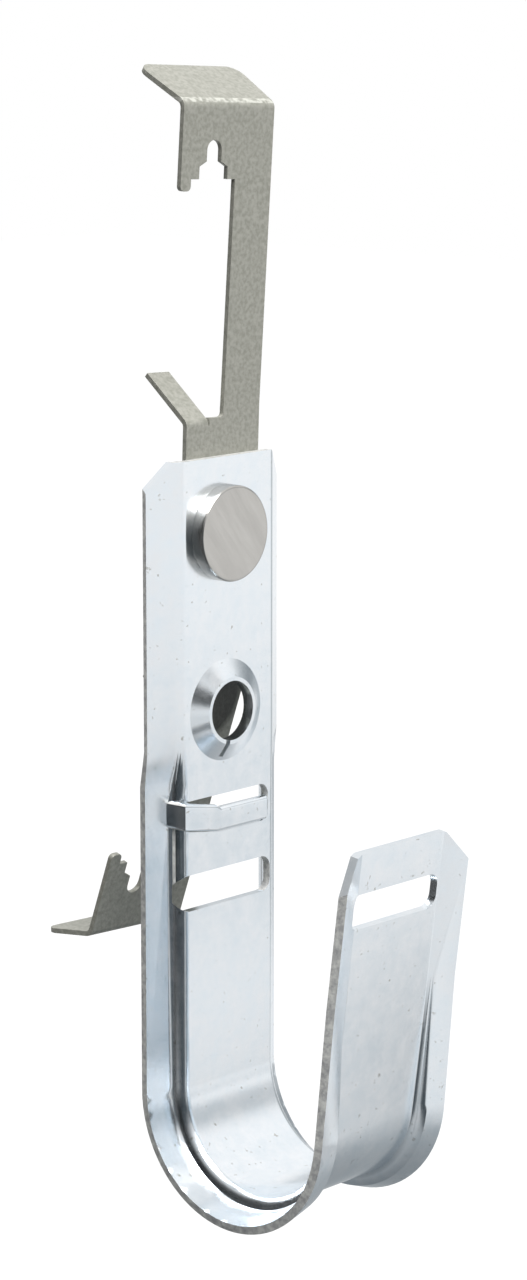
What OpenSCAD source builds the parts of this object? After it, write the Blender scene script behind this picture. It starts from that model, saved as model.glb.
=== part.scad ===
// J-hook cable support with a wing clip riveted to its back.
// Origin: centre of the screw hole, on the cable side of the back wall.
// +X runs along the strip's width, -Y points to the cables, +Z points up. Millimetres.

/* [Hook sheet] */
// Thickness of the hook's steel
sheet = 0.9; // [0.7:0.05:1.1]
// Width of the hook across its two rims
hook_w = 19.6; // [18.4:0.2:24]
// Width of the flat field between the rims
field_w = 13.1; // [12.4:0.1:13.4]
// How far the field lies off the middle, towards the far rim
field_shift = 0.6; // [0:0.05:0.7]
// How far the rims stand back from the field on the upper wall and the arm
rim_back = 1.75; // [1:0.05:2.4]
// How far the rims stand back along the lower wall and round the bend
rim_deep = 2.1; // [1.8:0.05:2.6]
// Width and depth of the steps' sloping shoulder
step_slope = 0.62; // [0.56:0.02:0.8]
// Width of the steps' steep side
step_side = 0.24; // [0.15:0.01:0.35]
// Inside radius of the sheet's folds
fold_r = 0.15; // [0.05:0.05:0.2]

/* [J shape] */
// Clear width of the loop between wall and arm, at the bottom
loop_d = 18.8; // [16:0.2:40]
// Depth of the loop's centre below the screw hole
loop_drop = 39.1; // [34:0.1:60]
// Height of the hook's top edge above the screw hole
top_rise = 26.2; // [24.5:0.2:34]
// Outward lean of the arm, in degrees
arm_lean = 7.4; // [0:0.2:14]
// Length of the arm above the bend
arm_len = 30.3; // [20:0.1:40]
// Depth below the screw hole at which the deep rims start on the wall
rim_start = 3.45; // [1:0.05:5]
// Stretch over which the deep rims run out on the wall
wall_runout = 3.6; // [1:0.2:6]
// Stretch over which the deep rims run out on the arm
arm_runout = 14; // [4:0.5:18]
// Corner cut of the top edges, along the width
corner_x = 2.7; // [1:0.1:3.1]
// Corner cut of the wall's top edge, along the height
wall_corner_z = 3; // [1:0.1:5]
// Corner cut of the arm's top edge, along the length
arm_corner_z = 3.4; // [1:0.1:5]
// Rolled edge along the top of the field
edge_roll = 0.45; // [0.1:0.05:0.6]

/* [Screw hole and slots] */
// Radius of the screw hole
hole_r = 3.1; // [2.4:0.1:3.4]
// Radius of the pressed cone round the screw hole
cone_r = 5.3; // [4.6:0.1:5.6]
// Height of the cone's lip above the wall
cone_h = 1; // [0.5:0.1:1.4]
// Width of the lip at the top of the cone
lip_w = 0.4; // [0.3:0.05:0.9]
// Width of the split in the cone that starts the thread
split_w = 0.6; // [0.3:0.1:1]
// Length of the wall slot
wall_slot_l = 13.6; // [10:0.1:15]
// Height of the wall slot
wall_slot_h = 3.8; // [2:0.1:5]
// Depth of the wall slot's middle below the screw hole
wall_slot_drop = 18.5; // [16.5:0.1:24]
// Length of the arm slot
arm_slot_l = 13.4; // [10:0.1:15]
// Height of the arm slot
arm_slot_h = 3.7; // [2:0.1:5]
// Distance of the arm slot's middle from the arm's top edge
arm_slot_down = 6.1; // [5.5:0.1:9]
// Corner radius of the slots
slot_r = 1.3; // [0.5:0.1:1.6]

/* [Bridge] */
// Depth of the bridge window's upper edge below the screw hole
bridge_drop = 8.8; // [7.6:0.05:10]
// Height of the window behind the bridge
bridge_win_h = 3.95; // [3.6:0.05:5]
// Length of the window behind the bridge
bridge_l = 13; // [11:0.2:14]
// Corner radius of the window
bridge_win_r = 1.2; // [0.4:0.1:1.4]
// Height of the bridge's low half
bridge_h = 2.5; // [1.8:0.1:3]
// How much higher the bridge's raised half is
bridge_more = 0.35; // [0:0.05:0.5]
// How far the raised half climbs towards its end
bridge_climb = 0.9; // [0:0.1:1.1]
// How far the bridge's raised half stands out
bridge_out = 0.95; // [0.5:0.05:1.4]
// How far the bridge's low half stands out
bridge_low = 0.4; // [0.2:0.05:0.8]
// Radius that rounds the bridge's front edges
bridge_r = 0.4; // [0.1:0.05:0.5]

/* [Rivet] */
// Height of the rivet above the screw hole
rivet_rise = 18.4; // [15.5:0.1:20]
// Radius of the rivet's flat head
head_r = 4.95; // [3.6:0.05:5.2]
// Height of the rivet's flat head
head_h = 1.5; // [0.8:0.05:1.8]
// Radius that rounds the head's rim
head_round = 0.3; // [0.1:0.05:0.5]
// Radius of the rivet's shank
shank_r = 2.4; // [1.6:0.1:3]
// Radius of the rivet's clinched tail
tail_r = 3.6; // [3.2:0.1:4.4]
// Thickness of the rivet's clinched tail
tail_h = 0.8; // [0.5:0.05:1.2]
// Play round the rivet's shank
shank_play = 0.05; // [0.02:0.01:0.15]

/* [Wing clip] */
// Thickness of the clip's spring steel
clip_t = 0.55; // [0.5:0.05:0.9]
// Width of the clip's riveted body
body_w = 10.8; // [9:0.1:11.4]
// Distance from the body's middle to the rivet
body_shift = 0.3; // [0:0.05:0.6]
// Height from the rivet to the fingers' bends
body_h = 11.4; // [9:0.1:13]
// Step from the fingers' bends up to the body's edge beside them
body_step = 0.3; // [0:0.1:0.4]
// Width of the two spring legs
leg_w = 5.4; // [4:0.1:6.5]
// Height of the legs' bends above the fingers' bends
leg_rise = 1.3; // [1.2:0.1:6]
// How much further out the lower wing sits
lower_more = 0.45; // [0:0.05:1.5]
// How much further out on the lower wing the flange bends
lower_lip_more = 0.65; // [0:0.05:0.9]
// Rearward bend of the lower leg, in degrees
lower_bend = 17.8; // [6:0.2:24]
// Forward bend of the upper leg, in degrees
upper_bend = 2; // [0.5:0.1:4]
// Turn of the clip on its rivet, in degrees
clip_turn = 2.2; // [0:0.1:3]
// Width of the wing plates
wing_w = 13.3; // [12.5:0.1:15]
// Height from the rivet to the corner where the upper flange bends
wing_top = 43.4; // [41.5:0.1:48]
// Height from the rivet to the tips of the wings' side arms
wing_tip = 34.5; // [31:0.1:34.8]
// Corner radius of the tips
tip_r = 0.5; // [0.2:0.05:0.7]

/* [Clip notches] */
// Radius of the narrow notch, for thin wire
notch_r = 1.05; // [0.8:0.05:1.3]
// Half width of the middle notch
notch_mid = 2.05; // [1.7:0.05:2.4]
// Half width of the wide notch, for rod
notch_wide = 3.2; // [2.8:0.05:3.6]
// Height from the rivet to the notch's round end
notch_top = 39.6; // [39:0.1:41]
// Height from the rivet to the top of the middle notch
notch_mid_top = 36.95; // [36.5:0.05:37.3]
// Height from the rivet to the top of the wide notch
notch_wide_top = 35.7; // [35.2:0.05:36]

/* [Clip flanges and fingers] */
// Length of the flange that the fingertip presses, from the corner of the upper one's bend
flange_l = 7; // [4:0.1:9]
// Angle that the upper flange is bent through, in degrees
flange_bend = 62; // [40:1:80]
// Angle that the lower flange is bent through, in degrees
lower_flange_bend = 67; // [40:1:80]
// Widening of the flange on each side
flange_flare = 0.6; // [0.1:0.1:1]
// Corner radius of the flange
flange_r = 1.5; // [0.8:0.1:3]
// Width of the wire fingers
finger_w = 3.2; // [2:0.1:4]
// Length of the upper wire finger, from the corner of its bend
finger_l = 7.3; // [3:0.1:9]
// Length of the lower wire finger, from the corner of its bend
lower_finger_l = 6.6; // [3:0.1:9]
// Angle that the fingers are bent through, in degrees
finger_bend = 51; // [30:1:70]
// Inside radius of the clip's folds
clip_fold_r = 0.5; // [0.3:0.05:1.2]
// Inside radius of the soft bends in the legs
leg_fold_r = 2; // [0.5:0.5:2.5]

/* [Hidden] */
$fn = 48;
CUT = 0.01;          // slant left at the foot of the pressed cone
LAP = 0.1;           // how far a straight stretch runs back into the bend that carries it
INSET = 0.01;        // how far its faces lie inside the bend's, so that the lap is clean
REACH = 8;           // half length of a cut that passes through the sheet and its rims
CREASE_CUT = 0.3;    // share of a short flank that its broken crease takes
RIM_CUT = 0.12;      // share of the rim that the broken crease at its foot takes
FOLD_STEPS = 4;      // straight steps in each fold along the field
SHEAR = 0.15;        // open cut along a sheared edge
PLAIN_SHOULDER = 0.8;    // where the step's two creases die out on the plain rim, from its fold
PLAIN_FOOT = 1;
STEP_FOOT = 0.7;     // depth of the step's foot, as a share of the rim's depth
INNER_R = 0.5;       // rounding where the leg rises from the body
NOTCH_EASE = 0.5;    // slope at the mouth of the narrow notch
SPLIT_TURN = 12;     // where the cone's split lies, in degrees from straight down

loop_r = loop_d / 2;
half_w = hook_w / 2;
near_field = field_w / 2 - field_shift;     // from the middle to the field's near fold
far_field = field_w / 2 + field_shift;
bend_sweep = 180 - arm_lean;
wall_step_z = -rim_start - wall_runout;     // where the deep rims reach full depth on the wall
arm_seat = 1;                               // short stretch of deep rims above the bend
arm_slot_at = arm_len - arm_slot_down;
bridge_step_x = -1;                         // where the bridge steps down to its low half
leg_right = body_shift + body_w / 2;        // the clip's straight far edge
leg_left = leg_right - leg_w;
body_left = leg_right - body_w;
wing_left = leg_right - wing_w;
notch_u = leg_left - notch_wide;            // middle of the three notches
leg_fold = body_h + leg_rise;
arm_of_wing = notch_u - notch_wide - wing_left;     // width of a wing's side arm

// ---- outlines of a folded sheet ----
function unit(v) = v / norm(v);
function side(a, b) = let (d = unit(b - a)) [-d[1], d[0]];
function blend(a, b, s) = a + (b - a) * s;

// Point i of a path, moved by d to its left, so that the path keeps parallel to itself
function shifted(p, i, d) =
    let (n = len(p) - 1,
         before = side(p[max(i - 1, 0)], p[max(i, 1)]),
         after = side(p[min(i, n - 1)], p[min(i + 1, n)]),
         m = unit(before + after))
    p[i] + m * d / (m * before);

// Arc that rounds the corner b between a and c, whose centre lies on the turn's inside
function rounded(a, b, c, r, steps) =
    let (u = unit(a - b), v = unit(c - b),
         half = acos(u * v) / 2,
         o = b + unit(u + v) * r / sin(half),
         from = b + u * r / tan(half) - o,
         to = b + v * r / tan(half) - o,
         start = atan2(from[1], from[0]),
         turn = (atan2(to[1], to[0]) - start + 540) % 360 - 180)
    [for (k = [0:steps]) o + r * [cos(start + turn * k / steps), sin(start + turn * k / steps)]];

// Half of the hook's section, [across, back], from a field of half width field to the rim's edge,
// on a face that lies back by the distance given. depth 0 is the plain bevelled rim, depth 1 the
// rim with its step. The rim's edge is shortened by trim.
function half_section(field, depth, back = 0, trim = 0) =
    let (fold = [field, 0],
         rim = unit([half_w - field, rim_back]),
         shoulder = fold + blend(rim * PLAIN_SHOULDER, [step_slope, step_slope], depth),
         foot = fold + blend(rim * PLAIN_FOOT, [step_slope + step_side, rim_deep * STEP_FOOT], depth),
         edge = [half_w, blend(rim_back, rim_deep, depth)],
         sharp = [[0, 0], fold, shoulder, foot, edge + unit(foot - edge) * trim],
         p = [for (i = [0:4]) shifted(sharp, i, back)])
    concat(
        rounded(p[0], p[1], p[2], back < sheet / 2 ? fold_r + sheet : fold_r, FOLD_STEPS),
        [blend(p[2], p[1], CREASE_CUT), blend(p[2], p[3], CREASE_CUT),
         blend(p[3], p[2], CREASE_CUT), blend(p[3], p[4], RIM_CUT), p[4]]);
function face(depth, back, trim) =
    let (near = half_section(near_field, depth, back, trim))
    concat([for (i = [len(near) - 1:-1:0]) [-near[i][0], near[i][1]]],
           half_section(far_field, depth, back, trim));
function section(depth, inset = 0) =
    let (rear = face(depth, sheet - inset, inset))
    concat(face(depth, inset, inset), [for (i = [len(rear) - 1:-1:0]) rear[i]]);

// A straight stretch of the hook, upright from z = 0, with an even section
module straight(depth, length, inset = 0) {
    linear_extrude(length) polygon(section(depth, inset));
}

// A stretch whose section changes evenly from one rim depth to another
module runout(depth_low, depth_high, length, inset = 0) {
    low = section(depth_low, inset);
    high = section(depth_high, inset);
    n = len(low);
    polyhedron(
        points = concat([for (p = low) [p[0], p[1], 0]], [for (p = high) [p[0], p[1], length]]),
        faces = concat(
            [for (i = [0:n / 2 - 2]) [i, i + 1, n - 2 - i, n - 1 - i]],
            [for (i = [0:n / 2 - 2]) [2 * n - 1 - i, 2 * n - 2 - i, n + i + 1, n + i]],
            [for (i = [0:n - 1]) let (j = (i + 1) % n) each [[i, n + i, n + j], [i, n + j, j]]]),
        convexity = 6);
}

// The round bend under the loop, swept about the loop's centre
module bend() {
    translate([0, -loop_r, -loop_drop])
        rotate([-90, 0, 90])
            rotate_extrude(angle = bend_sweep, $fn = 96)
                polygon([for (p = section(1)) [loop_r + p[1], -p[0]]]);
}

// Puts a child that is modelled upright at z = 0 on the arm's lower end
module on_arm() {
    translate([0, -loop_r, -loop_drop])
        rotate([arm_lean, 0, 0])
            mirror([0, 1, 0])
                translate([0, loop_r, 0])
                    children();
}

// A level slot through the sheet, with rounded ends
module slot_cut(length, height) {
    for (sx = [-1, 1], sz = [-1, 1])
        translate([sx * (length / 2 - slot_r), 0, sz * (height / 2 - slot_r)])
            rotate([90, 0, 0]) cylinder(r = slot_r, h = REACH, center = true);
    cube([length - 2 * slot_r, REACH, height], center = true);
    cube([length, REACH, height - 2 * slot_r], center = true);
}

// The two corners cut from a top edge that lies at z = 0
module corner_cuts(drop) {
    for (s = [-1, 1])
        rotate([90, 0, 0])
            linear_extrude(2 * REACH, center = true)
                polygon([for (p = [[half_w - corner_x, 0], [half_w + 1, drop * (-1 - 1 / corner_x)],
                                   [half_w + 1, 1], [half_w - corner_x, 1]]) [s * p[0], p[1]]]);
}

// Softens the cable-side corner of a top edge that lies at z = 0
module roll_cut() {
    translate([0, 0, -edge_roll])
        rotate([45, 0, 0])
            translate([-half_w, -2, 0]) cube([hook_w, 2, 3]);
}

// The cone pressed up round the screw hole; its lip is the first turn of a thread
module cone() {
    slope = (cone_r - hole_r - lip_w) / cone_h;
    difference() {
        rotate([90, 0, 0])
            rotate_extrude(convexity = 4)
                polygon([[hole_r, cone_h], [hole_r + lip_w, cone_h], [cone_r, 0],
                         [cone_r, -sheet], [cone_r - slope * CUT, -sheet],
                         [hole_r, -sheet * 0.35]]);
        rotate([0, SPLIT_TURN, 0])
            translate([-split_w / 2, -REACH, -cone_r + lip_w])
                cube([split_w, 2 * REACH, cone_r - hole_r]);
    }
}

// How far the cable-side face lies back at a distance x from the middle, among the deep rims
function face_back(x) = lookup(abs(x), half_section(x < 0 ? near_field : far_field, 1));

// Climb of the bridge at x: none from its middle step to the far end
function climb(x) = bridge_climb * max(bridge_step_x - x, 0) / (bridge_step_x + bridge_l / 2);

// The lanced bridge: its near half stands further out than its far half and climbs, and both
// ends run into the wall. Drawing it out has thinned it and rounded its front edges.
module bridge() {
    end = bridge_l / 2;
    root = 0.1;
    t = sheet - 2 * root;
    path = [[-end - 0.75, face_back(-end - 0.75) + root], [-end - 0.55, -bridge_out],
            [bridge_step_x - 1.2, -bridge_out], [bridge_step_x, -bridge_low], [end - 0.6, -bridge_low],
            [end + 0.1, face_back(end + 0.1) + root]];
    // one ring of [depth, height] round the strap, with the two front edges rounded
    ring = function(h) concat(
        [[t, 0], [t, h]],
        [for (k = [0:3]) [bridge_r * (1 - sin(k * 30)), h - bridge_r * (1 - cos(k * 30))]],
        [for (k = [3:-1:0]) [bridge_r * (1 - sin(k * 30)), bridge_r * (1 - cos(k * 30))]]);
    rings = [for (i = [0:len(path) - 1])
        let (x = path[i][0], h = bridge_h + (x < bridge_step_x ? bridge_more : 0))
        [for (q = ring(h)) let (p = shifted(path, i, q[0])) [p[0], p[1], q[1] + climb(x)]]];
    n = len(rings[0]);
    last = len(path) - 1;
    translate([0, 0, SHEAR - bridge_drop - bridge_win_h])
        polyhedron(
            points = [for (r = rings) each r],
            faces = concat(
                [[for (k = [0:n - 1]) k]],
                [[for (k = [n - 1:-1:0]) last * n + k]],
                [for (i = [0:last - 1], k = [0:n - 1])
                    let (a = i * n + k, b = i * n + (k + 1) % n)
                    each [[a, a + n, b + n], [a, b + n, b]]]),
            convexity = 6);
}

// The window behind the bridge; its lower edge climbs with the raised half
module bridge_window() {
    end = bridge_l / 2;
    top = -bridge_drop;
    low = -bridge_drop - bridge_win_h;
    corners = [[-end, top], [-end, low + bridge_climb], [bridge_step_x, low], [end, low], [end, top]];
    rotate([90, 0, 0])
        linear_extrude(REACH, center = true)
            polygon([for (i = [0:4])
                each i == 2 ? [corners[2]]
                    : rounded(corners[(i + 4) % 5], corners[i], corners[(i + 1) % 5], bridge_win_r, 6)]);
}

// The arm, upright on its lower end: the deep rims run out along it
module arm() {
    difference() {
        union() {
            translate([0, 0, -LAP]) straight(1, LAP + arm_seat, INSET);
            translate([0, 0, arm_seat]) runout(1, 0, arm_runout, INSET);
            translate([0, 0, arm_seat + arm_runout])
                straight(0, arm_len - arm_seat - arm_runout, INSET);
        }
        translate([0, 0, arm_slot_at]) slot_cut(arm_slot_l, arm_slot_h);
        translate([0, 0, arm_len]) corner_cuts(arm_corner_z);
    }
}

// The back wall, with every opening that is cut through it
module wall() {
    run_top = wall_step_z + wall_runout;
    difference() {
        union() {
            translate([0, 0, run_top]) straight(0, top_rise - run_top);
            translate([0, 0, wall_step_z]) runout(1, 0, wall_runout);
            translate([0, 0, -loop_drop]) straight(1, loop_drop + wall_step_z);
        }
        rotate([90, 0, 0]) cylinder(r = cone_r, h = REACH, center = true);
        translate([0, 0, rivet_rise]) rotate([90, 0, 0])
            cylinder(r = shank_r + shank_play, h = REACH, center = true);
        bridge_window();
        translate([0, 0, -wall_slot_drop]) slot_cut(wall_slot_l, wall_slot_h);
        translate([0, 0, top_rise]) corner_cuts(wall_corner_z);
        translate([0, 0, top_rise]) roll_cut();
    }
}

module j_hook() {
    color("gainsboro") {
        wall();
        cone();
        bridge();
        bend();
        on_arm() arm();
    }
}

module rivet() {
    back = -sheet - clip_t;
    tail = back - tail_h;
    dimple = back - tail_h * 0.4;
    ease = tail_h * 0.35;
    color("silver")
    translate([0, 0, rivet_rise])
        rotate([90, 0, 0])
            rotate_extrude()
                polygon(concat(
                    [[0, head_h]],
                    [for (k = [0:3]) [head_r - head_round * (1 - sin(k * 30)),
                                      head_h - head_round * (1 - cos(k * 30))]],
                    [[head_r, 0], [shank_r, 0], [shank_r, back], [tail_r, back], [tail_r - ease, tail],
                     [shank_r * 0.6, tail], [shank_r * 0.3, dimple], [0, dimple]]));
}

// ---- the wing clip: x across, y back through the steel, z along the steel from the rivet ----
// A fold is placed by its corner, where the two stretches' wall-side faces would meet. Past a fold,
// z goes on counting along the steel as if the corner were sharp.

// Distance from a fold's corner to the end of its curve
function tangent(r, angle) = (angle > 0 ? r + clip_t : r) * tan(abs(angle) / 2);

// A curved stretch round the corner at z, bent back by angle, or forward if it is negative
module fold(z, u0, u1, r, angle) {
    back = angle > 0;
    translate([0, back ? clip_t + r : -r, z - tangent(r, angle)])
        rotate([90, 0, back ? -90 : 90])
            rotate_extrude(angle = abs(angle), $fn = 96)
                translate([r, back ? -u1 : u0]) square([clip_t, u1 - u0]);
}

// Carries what lies past the corner at z, modelled as if flat, to its place after the fold
module past_fold(z, r, angle) {
    centre = angle > 0 ? clip_t + r : -r;
    translate([0, centre, z - tangent(r, angle)])
        rotate([-angle, 0, 0])
            translate([0, -centre, -z - tangent(r, angle)]) children();
}

// A flat stretch of the clip with the outline given
module plate(outline, inset = 0) {
    translate([0, clip_t - inset, 0])
        rotate([90, 0, 0]) linear_extrude(clip_t - 2 * inset) polygon(outline);
}

// Half of the riveted body with the foot of its leg; a slit frees the finger from the body
module body_half(leg_foot) {
    finger_foot = body_h - tangent(clip_fold_r, finger_bend);
    slit = body_left + finger_w + SHEAR;
    edge = body_h + body_step;
    plate(concat(
        [[leg_right, 0], [leg_right, leg_foot], [leg_left, leg_foot]],
        rounded([leg_left, leg_foot], [leg_left, edge], [slit, edge],
                min(INNER_R, (leg_foot - edge) * 0.9), 4),
        [[slit, edge], [slit, finger_foot], [body_left, finger_foot], [body_left, 0]]));
}

// One finger, bent back from the body
module finger(length) {
    fold(body_h, body_left, body_left + finger_w, clip_fold_r, finger_bend);
    past_fold(body_h, clip_fold_r, finger_bend) {
        foot = body_h + tangent(clip_fold_r, finger_bend) - LAP;
        right = body_left + finger_w;
        tip = body_h + length;
        plate([[body_left + INSET, foot], [right - INSET, foot], [right - INSET, tip],
               [body_left + INSET, tip]], INSET);
    }
}

// The leg and its wing plate, with the three stepped notches open towards the rivet
module wing(foot, top) {
    left = wing_left + INSET;
    right = leg_right - INSET;
    inner = leg_left + INSET;
    near = notch_u - notch_wide;
    r = min(tip_r, arm_of_wing * 0.45);
    difference() {
        plate(concat(
            [[right, foot], [right, top], [left, top]],
            rounded([left, top], [left, wing_tip], [near, wing_tip], r, 4),
            rounded([left, wing_tip], [near, wing_tip], [near, notch_wide_top], r, 4),
            [[near, notch_wide_top], [notch_u - notch_mid, notch_wide_top],
             [notch_u - notch_mid, notch_mid_top], [notch_u - notch_r, notch_mid_top + NOTCH_EASE],
             [notch_u - notch_r, notch_top - notch_r], [notch_u + notch_r, notch_top - notch_r],
             [notch_u + notch_r, notch_mid_top + NOTCH_EASE], [notch_u + notch_mid, notch_mid_top],
             [notch_u + notch_mid, notch_wide_top], [inner, notch_wide_top], [inner, foot]]),
            INSET);
        translate([notch_u, 0, notch_top - notch_r])
            rotate([90, 0, 0]) cylinder(r = notch_r, h = REACH, center = true);
    }
}

// One flange: it widens a little from the wing and has rounded corners
module flange(foot, tip) {
    a = [wing_left + INSET, foot];
    b = [wing_left - flange_flare, tip];
    c = [leg_right + flange_flare, tip];
    d = [leg_right - INSET, foot];
    lap = [0, -LAP];
    plate(concat([d + lap, d], rounded(d, c, b, flange_r, 8), rounded(c, b, a, flange_r, 8),
                 [a, a + lap]), INSET);
}

// Half of the clip, above the rivet: its leg is bent back by leg_bend degrees and is longer by
// more, its flange is bent by lip_bend degrees at the corner lip_z, and its finger has the length
// given
module clip_half(leg_bend, more, lip_z, lip_bend, finger_length) {
    lip_curve = tangent(clip_fold_r, lip_bend);
    body_half(leg_fold - tangent(leg_fold_r, leg_bend));
    finger(finger_length);
    fold(leg_fold, leg_left, leg_right, leg_fold_r, leg_bend);
    past_fold(leg_fold, leg_fold_r, leg_bend)
        translate([0, 0, more]) {
            wing(leg_fold + tangent(leg_fold_r, leg_bend) - LAP - more, lip_z - lip_curve);
            fold(lip_z, wing_left, leg_right, clip_fold_r, lip_bend);
            past_fold(lip_z, clip_fold_r, lip_bend) flange(lip_z + lip_curve, wing_top + flange_l);
        }
}

module wing_clip() {
    color("darkgray")
    translate([0, sheet, rivet_rise])
        rotate([0, clip_turn, 0])
            difference() {
                union() {
                    clip_half(-upper_bend, 0, wing_top, flange_bend, finger_l);
                    mirror([0, 0, 1])
                        clip_half(lower_bend, lower_more, wing_top + lower_lip_more,
                                  lower_flange_bend, lower_finger_l);
                }
                rotate([90, 0, 0]) cylinder(r = shank_r + shank_play, h = REACH, center = true);
            }
}

j_hook();
wing_clip();
rivet();
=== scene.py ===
from math import radians

import bpy
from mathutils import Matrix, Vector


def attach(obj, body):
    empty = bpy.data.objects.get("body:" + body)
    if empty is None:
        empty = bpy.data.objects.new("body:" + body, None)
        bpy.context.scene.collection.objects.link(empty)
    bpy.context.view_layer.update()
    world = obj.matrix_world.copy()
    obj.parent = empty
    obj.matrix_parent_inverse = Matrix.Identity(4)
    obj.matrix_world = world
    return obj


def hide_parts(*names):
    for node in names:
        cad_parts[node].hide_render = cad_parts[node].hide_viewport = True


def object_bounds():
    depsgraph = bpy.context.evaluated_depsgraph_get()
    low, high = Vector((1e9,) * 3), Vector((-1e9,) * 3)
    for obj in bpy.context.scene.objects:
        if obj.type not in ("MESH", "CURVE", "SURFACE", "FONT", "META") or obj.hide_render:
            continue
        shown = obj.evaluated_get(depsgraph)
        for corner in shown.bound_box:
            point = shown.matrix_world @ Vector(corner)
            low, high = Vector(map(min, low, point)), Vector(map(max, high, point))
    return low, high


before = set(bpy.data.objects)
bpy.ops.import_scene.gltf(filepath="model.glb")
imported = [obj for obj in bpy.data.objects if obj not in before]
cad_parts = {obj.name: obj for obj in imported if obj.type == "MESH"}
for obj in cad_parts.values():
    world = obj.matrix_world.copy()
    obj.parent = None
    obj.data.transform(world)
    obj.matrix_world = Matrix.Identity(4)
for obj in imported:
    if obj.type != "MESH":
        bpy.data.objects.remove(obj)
cad_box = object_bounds()
bpy.ops.object.select_all(action="DESELECT")


# ---------------------------------------------------------------------------------------
# Hook: one strip of zinc-plated sheet steel, blanked, pierced and folded to a J, then
# bright-plated. Its sheared edges are soft, so a copy of the solid is bevelled finely.
# ---------------------------------------------------------------------------------------
hook_broken_edge = 0.00006
zinc_shade, zinc_light, zinc_fleck = "#e8f0f6", "#f8fbfe", "#c4c5c2"
sheared_shade, sheared_light = "#a6a6a7", "#e2e2dd"


def colour(hex_code):
    """A written sRGB colour as the linear values that the shader takes."""
    parts = [int(hex_code[i:i + 2], 16) / 255 for i in (1, 3, 5)]
    return [c / 12.92 if c <= 0.04045 else ((c + 0.055) / 1.055) ** 2.4 for c in parts] + [1]


def add_node(material, kind, links=None, **settings):
    """Adds one shader node, sets its inputs and properties, and joins it up."""
    node = material.node_tree.nodes.new(kind)
    for name, value in settings.items():
        socket = name.replace("_", " ")
        if socket in node.inputs:
            node.inputs[socket].default_value = value
        else:
            setattr(node, name, value)
    for socket, source in (links or {}).items():
        material.node_tree.links.new(source, node.inputs[socket])
    return node


def new_material(name):
    """An empty material, and the shader that it starts with."""
    material = bpy.data.materials.new(name)
    material.use_nodes = True
    return material, material.node_tree.nodes["Principled BSDF"]


def soft_copy(node_name, piece_name, edge_width):
    """A copy of a solid with its thin edges broken, which then stands for the solid."""
    weld_reach = 0.00002
    flat_within = radians(0.3)
    corner_from = radians(50)
    smooth_below = radians(26)
    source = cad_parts[node_name]
    piece = source.copy()
    piece.data = source.data.copy()
    piece.name = piece_name
    piece.parent = None
    for key in list(piece.keys()):
        del piece[key]
    bpy.context.scene.collection.objects.link(piece)
    bpy.ops.object.select_all(action="DESELECT")
    piece.select_set(True)
    bpy.context.view_layer.objects.active = piece
    bpy.ops.object.mode_set(mode="EDIT")
    bpy.ops.mesh.select_all(action="SELECT")
    bpy.ops.mesh.remove_doubles(threshold=weld_reach)
    bpy.ops.mesh.dissolve_limited(angle_limit=flat_within)
    bpy.ops.object.mode_set(mode="OBJECT")
    bpy.ops.mesh.customdata_custom_splitnormals_clear()
    bevel = piece.modifiers.new("broken edge", "BEVEL")
    bevel.width = edge_width
    bevel.segments = 2
    bevel.limit_method = "ANGLE"
    bevel.angle_limit = corner_from
    bpy.ops.object.modifier_apply(modifier=bevel.name)
    bpy.ops.object.shade_smooth_by_angle(angle=smooth_below)
    level = piece.modifiers.new("flat faces", "WEIGHTED_NORMAL")
    level.weight = 100
    level.keep_sharp = True
    bpy.ops.object.modifier_apply(modifier=level.name)
    piece.data.materials.clear()
    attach(piece, "root")
    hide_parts(node_name)
    return piece


hook = soft_copy("j_hook", "hook_sheet", hook_broken_edge)

# Bright zinc plate on rolled steel: a cool, soft mirror with faint clouds about 2.4 mm wide,
# sparse grey flecks under 1 mm, and a grain of 1.1 mm, drawn coarser than the real one to show.
zinc, zinc_shader = new_material("zinc_plated_steel")
place = add_node(zinc, "ShaderNodeTexCoord")
cloud = add_node(zinc, "ShaderNodeTexNoise", {"Vector": place.outputs["Object"]},
                 Scale=420.0, Detail=6.0, Roughness=0.7)
tint = add_node(zinc, "ShaderNodeValToRGB", {"Fac": cloud.outputs["Fac"]})
tint.color_ramp.elements[0].position = 0.3
tint.color_ramp.elements[0].color = colour(zinc_shade)
tint.color_ramp.elements[1].position = 0.7
tint.color_ramp.elements[1].color = colour(zinc_light)
speck = add_node(zinc, "ShaderNodeTexNoise", {"Vector": place.outputs["Object"]},
                 Scale=1500.0, Detail=2.0, Roughness=0.5)
fleck = add_node(zinc, "ShaderNodeMapRange", {"Value": speck.outputs["Fac"]},
                 From_Min=0.68, From_Max=0.78)
spotted = add_node(zinc, "ShaderNodeMix", {"Factor": fleck.outputs["Result"],
                   "A": tint.outputs["Color"]}, data_type="RGBA", B=colour(zinc_fleck))
haze = add_node(zinc, "ShaderNodeMapRange", {"Value": cloud.outputs["Fac"]},
                From_Min=0.3, From_Max=0.7, To_Min=0.17, To_Max=0.26)
grain = add_node(zinc, "ShaderNodeTexNoise", {"Vector": place.outputs["Object"]},
                 Scale=900.0, Detail=4.0, Roughness=0.6)
relief = add_node(zinc, "ShaderNodeBump", {"Height": grain.outputs["Fac"]},
                  Strength=0.12, Distance=0.00005)
zinc.node_tree.links.new(spotted.outputs["Result"], zinc_shader.inputs["Base Color"])
zinc.node_tree.links.new(haze.outputs["Result"], zinc_shader.inputs["Roughness"])
zinc.node_tree.links.new(relief.outputs["Normal"], zinc_shader.inputs["Normal"])
zinc_shader.inputs["Metallic"].default_value = 1.0
hook.data.materials.append(zinc)

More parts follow.
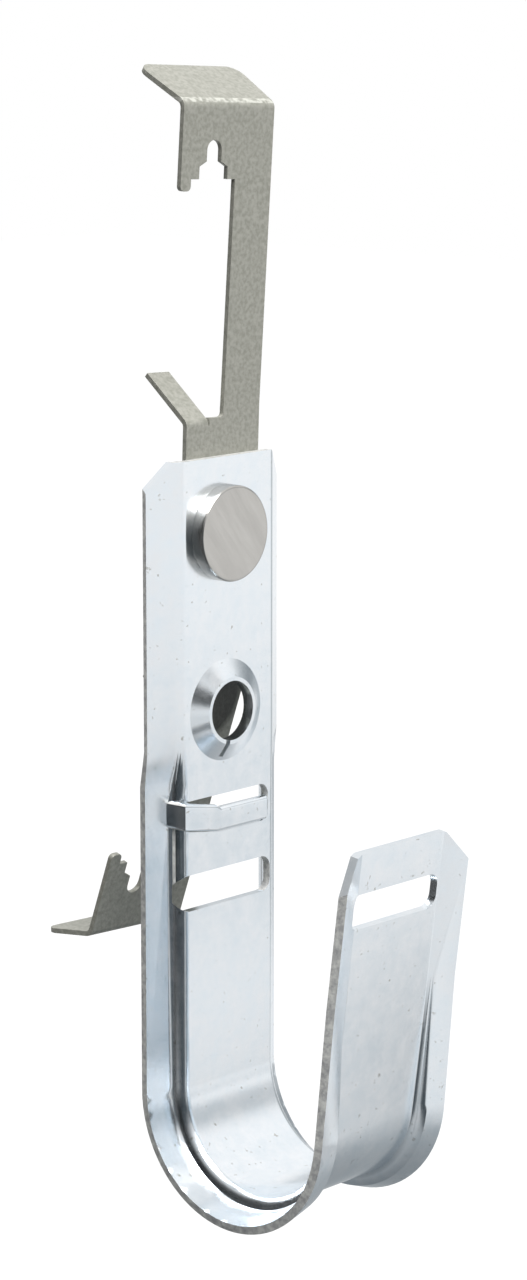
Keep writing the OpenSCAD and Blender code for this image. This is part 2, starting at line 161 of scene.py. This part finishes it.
# Sheared steel edge under thin plate: greyer and duller than the rolled faces, and grainy
# where the blanking tore it, with a tear about every 0.8 mm.
sheared, sheared_shader = new_material("sheared_zinc_edge")
place = add_node(sheared, "ShaderNodeTexCoord")
tear = add_node(sheared, "ShaderNodeTexNoise", {"Vector": place.outputs["Object"]},
                Scale=1300.0, Detail=4.0, Roughness=0.7)
tint = add_node(sheared, "ShaderNodeValToRGB", {"Fac": tear.outputs["Fac"]})
tint.color_ramp.elements[0].position = 0.35
tint.color_ramp.elements[0].color = colour(sheared_shade)
tint.color_ramp.elements[1].position = 0.65
tint.color_ramp.elements[1].color = colour(sheared_light)
relief = add_node(sheared, "ShaderNodeBump", {"Height": tear.outputs["Fac"]},
                  Strength=0.5, Distance=0.00008)
sheared.node_tree.links.new(tint.outputs["Color"], sheared_shader.inputs["Base Color"])
sheared.node_tree.links.new(relief.outputs["Normal"], sheared_shader.inputs["Normal"])
sheared_shader.inputs["Metallic"].default_value = 0.15
sheared_shader.inputs["Roughness"].default_value = 0.5
hook.data.materials.append(sheared)

# The sheared faces are the strip's two sides, its top, and the ends of what is pierced in the
# wall below the screw hole: the slot and the bridge.
strip_side = 0.0093
strip_top = 0.0225
pierced_inner, pierced_outer = 0.002, 0.0071
pierced_bottom, pierced_top = -0.022, -0.0085
wall_middle, wall_reach = 0.0004, 0.0008
for face in hook.data.polygons:
    x, y, z = face.center
    facing = face.normal
    on_side = abs(x) > strip_side and abs(facing.x) > 0.8
    on_top = z > strip_top and facing.z > 0.8
    in_wall = abs(y - wall_middle) < wall_reach and pierced_bottom < z < pierced_top
    is_end = abs(facing.x) > 0.25 and abs(facing.y) < 0.3
    if on_side or on_top or (in_wall and is_end and pierced_inner < abs(x) < pierced_outer):
        face.material_index = 1


# ---------------------------------------------------------------------------------------
# Wing clip: one blank of spring steel with a matt grey coat, bent at its legs, flanges
# and fingers, and riveted flat against the back of the hook. Behind the screw hole the
# coat is darkened with painted shade, and along the upper fold it has a painted highlight.
# ---------------------------------------------------------------------------------------
clip_broken_edge = 0.00008
# The last coat colour is a painted highlight for the upper fold.
coat_shade, coat_light, coat_highlight = "#97978d", "#abaaa1", "#ccccc3"
# A round patch of painted shade behind the screw hole: its centre, its reach and its darkness.
painted_shade_centre = (0.0, 0.0015, 0.0)
painted_shade_full, painted_shade_gone = 0.0045, 0.0055
painted_shade_darkness = 0.22
# Where the painted highlight runs along the upper fold.
fold_run = (0.038, 0.0, 1.0)
fold_height, fold_half_width = 0.06195, 0.00022
clip = soft_copy("wing_clip", "clip_spring", clip_broken_edge)

# Grey corrosion coat on spring steel: a warm, matt grey with a dull sheen, mottled about
# every 0.4 mm, which is drawn coarser than the real coat to show.
coat, coat_shader = new_material("grey_coated_spring_steel")
place = add_node(coat, "ShaderNodeTexCoord")
flake = add_node(coat, "ShaderNodeTexNoise", {"Vector": place.outputs["Object"]},
                 Scale=2300.0, Detail=2.0, Roughness=0.5)
tint = add_node(coat, "ShaderNodeValToRGB", {"Fac": flake.outputs["Fac"]})
tint.color_ramp.elements[0].position = 0.35
tint.color_ramp.elements[0].color = colour(coat_shade)
tint.color_ramp.elements[1].position = 0.65
tint.color_ramp.elements[1].color = colour(coat_light)
relief = add_node(coat, "ShaderNodeBump", {"Height": flake.outputs["Fac"]},
                  Strength=0.45, Distance=0.00008)

# Painted shade darkens the front only, in a round patch behind the hole.
near_hole = add_node(coat, "ShaderNodeVectorMath", {"Vector": place.outputs["Object"]},
                     operation="DISTANCE")
near_hole.inputs[1].default_value = painted_shade_centre
painted_shade_factor = add_node(coat, "ShaderNodeMapRange", {"Value": near_hole.outputs["Value"]},
                From_Min=painted_shade_full, From_Max=painted_shade_gone, To_Min=painted_shade_darkness, To_Max=1.0)
side = add_node(coat, "ShaderNodeSeparateXYZ", {"Vector": place.outputs["Normal"]})
rear = add_node(coat, "ShaderNodeMapRange", {"Value": side.outputs["Y"]},
                From_Min=-0.6, From_Max=-0.2)
front_only = add_node(coat, "ShaderNodeMath", {0: painted_shade_factor.outputs["Result"],
                      1: rear.outputs["Result"]}, operation="MAXIMUM")
shaded_tint = add_node(coat, "ShaderNodeVectorMath", {"Vector": tint.outputs["Color"]},
                   operation="SCALE")
coat.node_tree.links.new(front_only.outputs["Value"], shaded_tint.inputs["Scale"])

# The painted highlight follows the upper fold, which runs slightly down across the leaning leg,
# and is broken up by a noise about 0.7 mm wide.
along = add_node(coat, "ShaderNodeVectorMath", {"Vector": place.outputs["Object"]},
                 operation="DOT_PRODUCT")
along.inputs[1].default_value = fold_run
on_fold = add_node(coat, "ShaderNodeMath", {0: along.outputs["Value"]}, operation="COMPARE")
on_fold.inputs[1].default_value = fold_height
on_fold.inputs[2].default_value = fold_half_width
highlight_noise = add_node(coat, "ShaderNodeTexNoise", {"Vector": place.outputs["Object"]},
               Scale=1500.0, Detail=1.0)
highlight_dots = add_node(coat, "ShaderNodeMapRange", {"Value": highlight_noise.outputs["Fac"]},
                  From_Min=0.4, From_Max=0.6)
bright = add_node(coat, "ShaderNodeMath", {0: on_fold.outputs["Value"],
                  1: highlight_dots.outputs["Result"]}, operation="MULTIPLY")
highlighted_coat = add_node(coat, "ShaderNodeMix", {"Factor": bright.outputs["Value"],
                "A": shaded_tint.outputs["Vector"]}, data_type="RGBA", B=colour(coat_highlight))
coat.node_tree.links.new(highlighted_coat.outputs["Result"], coat_shader.inputs["Base Color"])
coat.node_tree.links.new(relief.outputs["Normal"], coat_shader.inputs["Normal"])
coat_shader.inputs["Metallic"].default_value = 0.35
coat_shader.inputs["Roughness"].default_value = 0.5
clip.data.materials.append(coat)


# ---------------------------------------------------------------------------------------
# Rivet: a flat-headed steel rivet through the hook and the clip, clinched behind the clip.
# The setting tool polished its face.
# ---------------------------------------------------------------------------------------
rivet_broken_edge = 0.00008
rivet_shade, rivet_light = "#bab8b4", "#c8c6c2"
drag_angle = radians(-38)
rivet = soft_copy("rivet", "rivet_flat_head", rivet_broken_edge)

# Plated steel, polished: a warmer, greyer mirror than the zinc, with faint smears about
# 1.1 mm wide and seven times as long, slanting across the head.
polish, polish_shader = new_material("plated_rivet_steel")
place = add_node(polish, "ShaderNodeTexCoord")
drag = add_node(polish, "ShaderNodeMapping", {"Vector": place.outputs["Object"]},
                vector_type="TEXTURE", Rotation=(0, drag_angle, 0), Scale=(1.0, 1.0, 7.0))
smear = add_node(polish, "ShaderNodeTexNoise", {"Vector": drag.outputs["Vector"]},
                 Scale=900.0, Detail=4.0, Roughness=0.6)
tint = add_node(polish, "ShaderNodeValToRGB", {"Fac": smear.outputs["Fac"]})
tint.color_ramp.elements[0].position = 0.3
tint.color_ramp.elements[0].color = colour(rivet_shade)
tint.color_ramp.elements[1].position = 0.7
tint.color_ramp.elements[1].color = colour(rivet_light)
polish.node_tree.links.new(tint.outputs["Color"], polish_shader.inputs["Base Color"])
polish_shader.inputs["Metallic"].default_value = 0.95
polish_shader.inputs["Roughness"].default_value = 0.2
rivet.data.materials.append(polish)


# ---------------------------------------------------------------------------------------
# Room: white, but for an unlit side past the hook's near rim (-X), a grey line where the
# table ends, and four dark stands. Metal shows these as its dark edges. They are set for this
# camera's view of the hook, so from other sides they show in other places, or not at all.
# ---------------------------------------------------------------------------------------
def room_light(material, direction):
    """What the room looks like in a direction, apart from what the camera sees."""
    # Each list pairs one measure of the direction, from -1 to 1, with the brightness there.
    across = [(-1.0, 0.06), (-0.85, 0.07), (-0.66, 0.09), (-0.36, 0.09), (-0.27, 0.7),
              (-0.2, 1.0), (0.8, 1.0), (0.93, 0.6), (1.0, 0.45)]
    upwards = [(-1.0, 0.2), (-0.76, 0.42), (-0.6, 0.8), (-0.47, 0.92), (-0.36, 0.97),
               (-0.3, 0.72), (-0.24, 0.78), (-0.16, 0.98), (-0.03, 1.0), (0.04, 0.7),
               (0.1, 0.6), (0.3, 0.6), (0.4, 0.9), (0.5, 1.0), (0.8, 1.0), (0.9, 0.8),
               (1.0, 0.8)]
    # The last two say how fully the first list counts: in front of the hook, and how high up.
    unlit_front = [(-1.0, 0.0), (-0.33, 0.0), (-0.22, 1.0), (1.0, 1.0)]
    unlit_height = [(-1.0, 1.0), (0.1, 1.0), (0.35, 0.45), (1.0, 0.45)]
    # Each stand: the direction it stands in, its dark core, where it ends, and its darkness.
    stands = [((-0.1, -0.96, 0.19), 0.15, 0.24, 0.02), ((0.33, -0.88, 0.32), 0.12, 0.26, 0.15),
              ((-0.82, 0.57, -0.1), 0.7, 0.95, 0.1), ((0.75, -0.45, -0.6), 0.1, 0.26, 0.55)]
    # The darker a part of the room is, the bluer, as the power of each colour sets.
    red_power, blue_power = 1.06, 0.96
    part = add_node(material, "ShaderNodeSeparateXYZ", {"Vector": direction})
    slant = add_node(material, "ShaderNodeVectorMath", {"Vector": direction},
                     operation="DOT_PRODUCT")
    slant.inputs[1].default_value = (0.0, -1.0, 1.0)
    shades = []
    for measure, stops in ((part.outputs["X"], across), (part.outputs["Z"], upwards),
                           (slant.outputs["Value"], unlit_front),
                           (part.outputs["Z"], unlit_height)):
        spread = add_node(material, "ShaderNodeMapRange", {"Value": measure},
                          From_Min=-1.0, From_Max=1.0)
        ramp = add_node(material, "ShaderNodeValToRGB", {"Fac": spread.outputs["Result"]})
        for value, level in stops[1:-1]:
            ramp.color_ramp.elements.new((value + 1) / 2)
        for stop, (value, level) in zip(ramp.color_ramp.elements, stops):
            stop.color = (level ** red_power, level, level ** blue_power, 1)
        shades.append(ramp.outputs["Color"])
    side_shade, height_shade, front_reach, height_reach = shades
    unlit = add_node(material, "ShaderNodeMath", {0: front_reach, 1: height_reach},
                     operation="MULTIPLY")
    walls = add_node(material, "ShaderNodeMix", {"A": height_shade, "B": side_shade,
                     "Factor": unlit.outputs["Value"]}, data_type="RGBA",
                     blend_type="MULTIPLY")
    room = walls.outputs["Result"]
    for centre, core, edge, level in stands:
        off = add_node(material, "ShaderNodeVectorMath", {"Vector": direction},
                       operation="DISTANCE")
        off.inputs[1].default_value = centre
        stand = add_node(material, "ShaderNodeMapRange", {"Value": off.outputs["Value"]},
                         From_Min=core, From_Max=edge, To_Min=level, To_Max=1.0)
        dimmed = add_node(material, "ShaderNodeVectorMath", {"Vector": room},
                          operation="SCALE")
        material.node_tree.links.new(stand.outputs["Result"], dimmed.inputs["Scale"])
        room = dimmed.outputs["Vector"]
    return room


world = bpy.data.worlds.new("studio")
bpy.context.scene.world = world
world.use_nodes = True
toward = add_node(world, "ShaderNodeTexCoord")
seen = add_node(world, "ShaderNodeLightPath")
backdrop = add_node(world, "ShaderNodeMix", {"Factor": seen.outputs["Is Camera Ray"],
                    "A": room_light(world, toward.outputs["Generated"])},
                    data_type="RGBA", B=(1, 1, 1, 1))
world.node_tree.links.new(backdrop.outputs["Result"],
                          world.node_tree.nodes["Background"].inputs["Color"])


# ---------------------------------------------------------------------------------------
# Table: a pale painted sheet 50 mm below the hook. The camera sees it white, apart from the
# hook's shadow, and the metal sees the room in its place.
# ---------------------------------------------------------------------------------------
table_width = 3.0
table_drop = 0.05
table_paint = "#f2f2f0"
table_glow = 1.07
glow_share = 0.86
lowest = cad_box[0][2]
bpy.ops.mesh.primitive_plane_add(size=table_width, location=(0, 0, lowest - table_drop))
table = bpy.context.active_object
table.name = "pale_table"
paint, paint_shader = new_material("pale_table_paint")
paint_shader.inputs["Base Color"].default_value = colour(table_paint)
paint_shader.inputs["Roughness"].default_value = 0.9
table.data.materials.append(paint)
spot = add_node(paint, "ShaderNodeNewGeometry")
away = add_node(paint, "ShaderNodeVectorMath", {"Vector": spot.outputs["Position"]},
                operation="NORMALIZE")
shown = add_node(paint, "ShaderNodeEmission",
                 {"Color": room_light(paint, away.outputs["Vector"])})
seen = add_node(paint, "ShaderNodeLightPath")
glow = add_node(paint, "ShaderNodeEmission", Strength=table_glow)
white = add_node(paint, "ShaderNodeMixShader", Fac=glow_share)
paint.node_tree.links.new(paint_shader.outputs["BSDF"], white.inputs[1])
paint.node_tree.links.new(glow.outputs["Emission"], white.inputs[2])
split = add_node(paint, "ShaderNodeMixShader", {"Fac": seen.outputs["Is Camera Ray"]})
paint.node_tree.links.new(shown.outputs["Emission"], split.inputs[1])
paint.node_tree.links.new(white.outputs["Shader"], split.inputs[2])
paint.node_tree.links.new(split.outputs["Shader"],
                          paint.node_tree.nodes["Material Output"].inputs["Surface"])


# ---------------------------------------------------------------------------------------
# Lamp: one soft lamp, high on the left in front of the hook. It is wide and near, so the
# shadows of the clip and the rims are soft.
# ---------------------------------------------------------------------------------------
bpy.ops.object.light_add(type="AREA", location=(-0.22, -0.3, 0.66),
                         rotation=(radians(29.4), 0, radians(-36.3)))
lamp = bpy.context.active_object
lamp.name = "soft_lamp"
lamp.data.size = 0.6
lamp.data.energy = 7.5


# ---------------------------------------------------------------------------------------
# Camera: a little above the part, beside the open side of the loop, with a long lens, so
# that the upright edges stay nearly parallel.
# ---------------------------------------------------------------------------------------
bpy.ops.object.camera_add(location=(-0.2623, -0.24247, 0.07408),
                          rotation=(radians(79.4), 0, radians(-47.876)))
camera = bpy.context.active_object
camera.data.sensor_fit = "VERTICAL"
camera.data.sensor_height = 24.0
camera.data.lens = 66.51
camera.data.clip_start = 0.01
bpy.context.scene.camera = camera
bpy.context.scene.view_settings.view_transform = "Standard"
